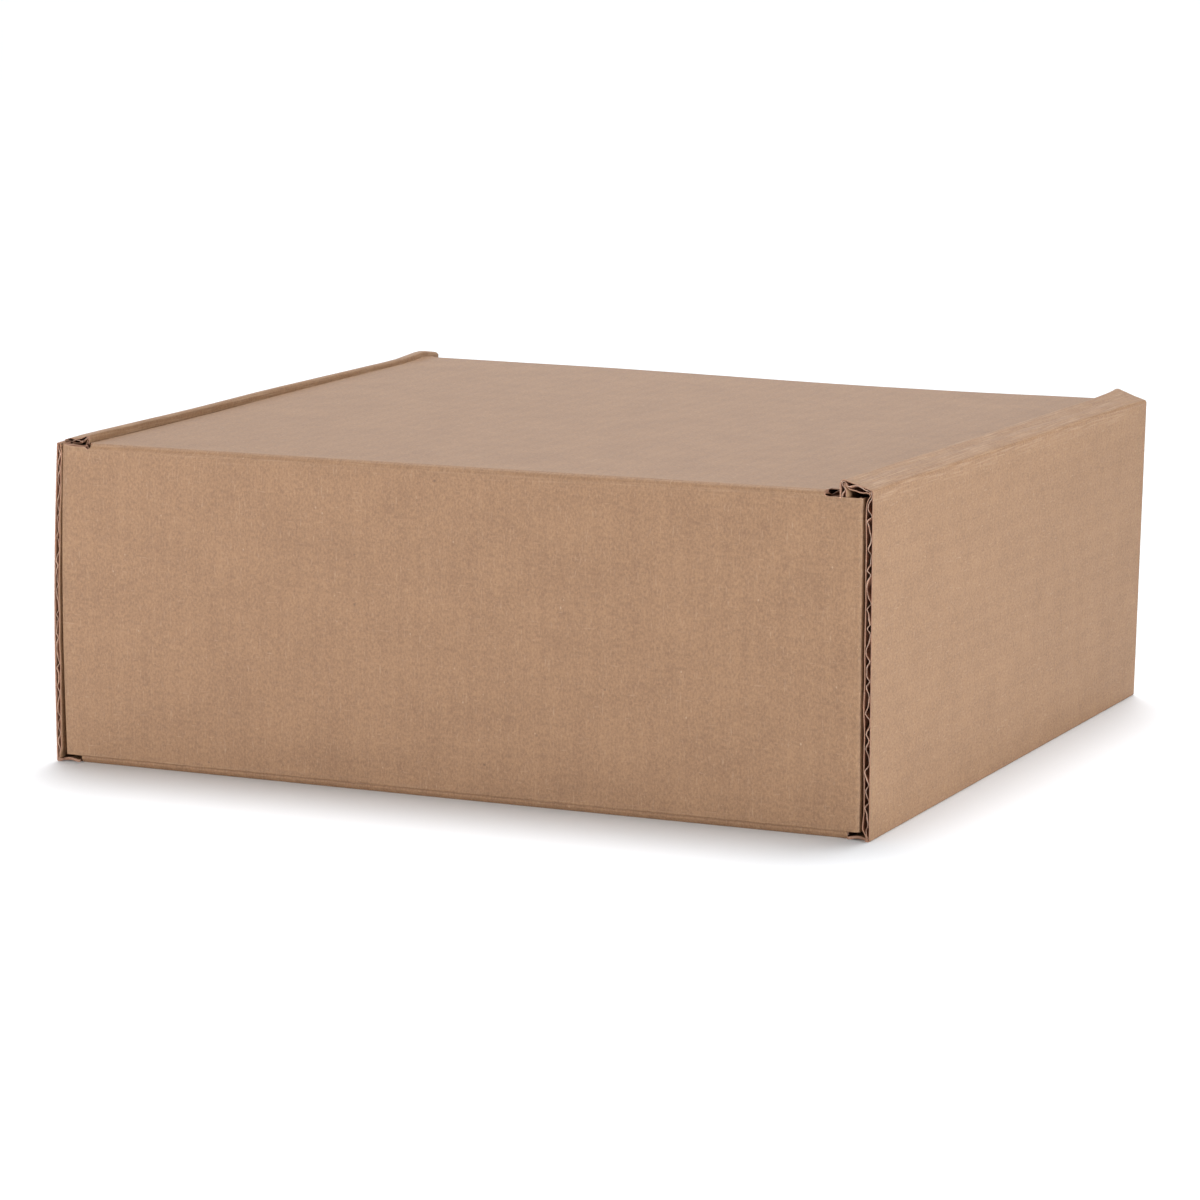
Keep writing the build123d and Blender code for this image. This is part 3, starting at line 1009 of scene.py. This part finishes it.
class MAILER_OT_lid(bpy.types.Operator):
    """Lid panel and the tuck flap on its free edge"""

    bl_idname = "mailer.lid"
    bl_label = "Lid"

    def execute(self, context):
        board = context.scene.mailer_board
        fold = context.scene.mailer_fold
        tuck_in = fold.tuck_length * math.sin(fold.tuck_lean)
        tuck_down = fold.tuck_length * math.cos(fold.tuck_lean)
        way = Outline(
            [(REAR + fold.crease_radius, LID_TOP), (LID_FRONT, LID_TOP),
             (LID_FRONT - tuck_in, LID_TOP - tuck_down)],
            [1.8 * MM], -1)
        relief = 2.2 * MM
        left, right = LID_SIDE + 0.9 * MM, LID_SIDE
        flap_start = way.station(1, 3.0 * MM)
        corner_start = way.length - fold.tuck_corner
        marks_u = [left - fold.crease_left, left + fold.crease_right,
                   left - LID_SIDE + fold.tuck_inset, left + LID_SIDE - fold.tuck_inset]
        width = left + right
        across = tidy_samples(np.concatenate([np.linspace(0, width, 34), marks_u]), width)
        corner = corner_start + fold.tuck_corner * np.sin(np.linspace(0, math.pi / 2, 9))
        along = way.samples(9 * MM, np.concatenate([[relief, flap_start], corner]))

        def keep(u, v):
            x = u - left
            kept = (v > relief) | ((x > -fold.crease_left) & (x < fold.crease_right))
            kept &= (v < flap_start) | (np.abs(x) < LID_SIDE - fold.tuck_inset)
            return kept

        def thickness(u, v):
            deep = thinned(board, v, CREASED)
            for where, _ in way.folds:
                deep = np.minimum(deep, thinned(board, v - where, CREASED))
            return deep

        def place(u, v):
            points, normals = way.at(v)
            x = u - left
            flap = LID_SIDE - fold.tuck_inset
            past = np.clip(v - corner_start, 0, fold.tuck_corner)
            rounding = np.sqrt(np.maximum(fold.tuck_corner ** 2 - past ** 2, 0))
            rounding = fold.tuck_corner - rounding
            x = x * (1 - rounding / flap)
            spots, outward = lengthwise(x, points, normals)
            on_lid = smooth_step(v / (20 * MM)) * (normals[..., 1] > 0.5)
            belly = ripple(u / (70 * MM), 5) * ripple(v / (60 * MM), 6)
            spots[..., 2] += on_lid * 0.15 * MM * belly
            spots[..., 2] += lift_lid(spots[..., 0], spots[..., 1])
            return spots, outward

        def wear(u, v):
            crease = 0.45 * (1 - smooth_step((v - 1 * MM) / (6 * MM)))
            side = 0.25 * smooth_step((u - left - right + 9 * MM) / (8 * MM))
            return side, crease

        sheets = corrugate(board, across, along, place, thickness, keep, 6,
                           cut_ends(-1.0, way.length), wear, (1.6, 0.4))
        settle(sheets.build("lid_and_tuck_flap"), "lid", "lid")
        return {"FINISHED"}


class MAILER_OT_stage(bpy.types.Operator):
    """White floor, soft studio light and the camera"""

    bl_idname = "mailer.stage"
    bl_label = "Stage"

    def execute(self, context):
        stage = context.scene.mailer_stage
        self.floor(stage)
        self.lights(context, stage)
        self.camera(context, stage)
        return {"FINISHED"}

    def floor(self, stage):
        half = stage.floor_size / 2
        data = bpy.data.meshes.new("floor")
        corners = [(-half, -half, 0), (half, -half, 0), (half, half, 0), (-half, half, 0)]
        data.from_pydata(corners, [], [(0, 1, 2, 3)])
        data.materials.append(Nodes("white_floor").surface((0.93, 0.95, 0.98, 1.0), 0.9, 0.1))
        floor = bpy.data.objects.new("floor", data)
        bpy.context.scene.collection.objects.link(floor)

    def light(self, context, name, kind, energy):
        lamp = bpy.data.lights.new(name, kind)
        lamp.energy = energy
        light = bpy.data.objects.new(name, lamp)
        context.scene.collection.objects.link(light)
        return light

    def lights(self, context, stage):
        world = bpy.data.worlds.new("surround")
        world.use_nodes = True
        sky = world.node_tree.nodes["Background"]
        sky.inputs["Color"].default_value = (0.85, 0.93, 1.0, 1.0)
        sky.inputs["Strength"].default_value = stage.sky
        context.scene.world = world
        # name, strength, degrees from upright, degrees round from the front, degrees of spread
        suns = (
            ("top_sun", stage.top_sun, 17.0, -167.0, 34.0),
            ("front_sun", stage.front_sun, 78.0, -20.0, 30.0),
            ("side_sun", stage.side_sun, 78.0, 75.0, 30.0),
        )
        for name, strength, tilt, turn, spread in suns:
            light = self.light(context, name, "SUN", strength)
            light.data.angle = math.radians(spread)
            light.rotation_euler = (math.radians(tilt), 0, math.radians(turn))
        # name, power, place, width and colour
        panels = (
            ("front_panel", stage.front_panel, Vector((-0.95, -0.9, 0.20)), 0.4, (1.0, 0.90, 0.80)),
            ("side_panel", stage.side_panel, Vector((1.3, -0.5, 0.20)), 0.4, (0.96, 1.0, 1.0)),
            ("back_panel", stage.back_panel, Vector((-1.4, 3.1, 1.45)), 2.4, (1.0, 1.0, 1.0)),
        )
        for name, power, place, size, colour in panels:
            light = self.light(context, name, "AREA", power)
            light.data.color = colour
            light.data.shape = "DISK"
            light.data.size = size
            light.location = place
            towards_box = Vector((0, 0, 0.06)) - place
            light.rotation_euler = towards_box.to_track_quat("-Z", "Y").to_euler()
        context.scene.view_settings.view_transform = "Standard"
        context.scene.view_settings.look = "None"

    def camera(self, context, stage):
        data = bpy.data.cameras.new("camera")
        data.lens = stage.lens
        data.sensor_width = 36.0
        data.clip_end = 100.0
        camera = bpy.data.objects.new("camera", data)
        camera.location = stage.camera_place
        camera.rotation_euler = (math.radians(90) - stage.dip, 0.0, stage.heading)
        context.scene.collection.objects.link(camera)
        context.scene.camera = camera


class MAILER_PT_panel(bpy.types.Panel):
    """Lists the sizes and the steps that build the box"""

    bl_idname = "MAILER_PT_panel"
    bl_label = "Mailer Box"
    bl_space_type = "VIEW_3D"
    bl_region_type = "UI"
    bl_category = "Mailer Box"

    def draw(self, context):
        layout = self.layout
        for name, group in SETTINGS.items():
            box = layout.box()
            box.label(text=group.__doc__)
            values = getattr(context.scene, name)
            for key in group.__annotations__:
                box.prop(values, key)
        for operator in OPERATORS:
            layout.operator(operator.bl_idname)


SETTINGS = {
    "mailer_board": BoardSettings,
    "mailer_fold": FoldSettings,
    "mailer_finish": FinishSettings,
    "mailer_stage": StageSettings,
}
OPERATORS = (
    MAILER_OT_stage,
    MAILER_OT_side_walls,
    MAILER_OT_end_walls,
    MAILER_OT_lid_crease,
    MAILER_OT_lid,
)
CLASSES = (*SETTINGS.values(), *OPERATORS, MAILER_PT_panel)


def register():
    for cls in CLASSES:
        bpy.utils.register_class(cls)
    for name, group in SETTINGS.items():
        setattr(bpy.types.Scene, name, bpy.props.PointerProperty(type=group))


def unregister():
    for name in SETTINGS:
        delattr(bpy.types.Scene, name)
    for cls in reversed(CLASSES):
        bpy.utils.unregister_class(cls)


def main():
    register()
    bpy.ops.mailer.stage()
    bpy.ops.mailer.side_walls()
    bpy.ops.mailer.end_walls()
    bpy.ops.mailer.lid_crease()
    bpy.ops.mailer.lid()


if __name__ == "__main__":
    main()
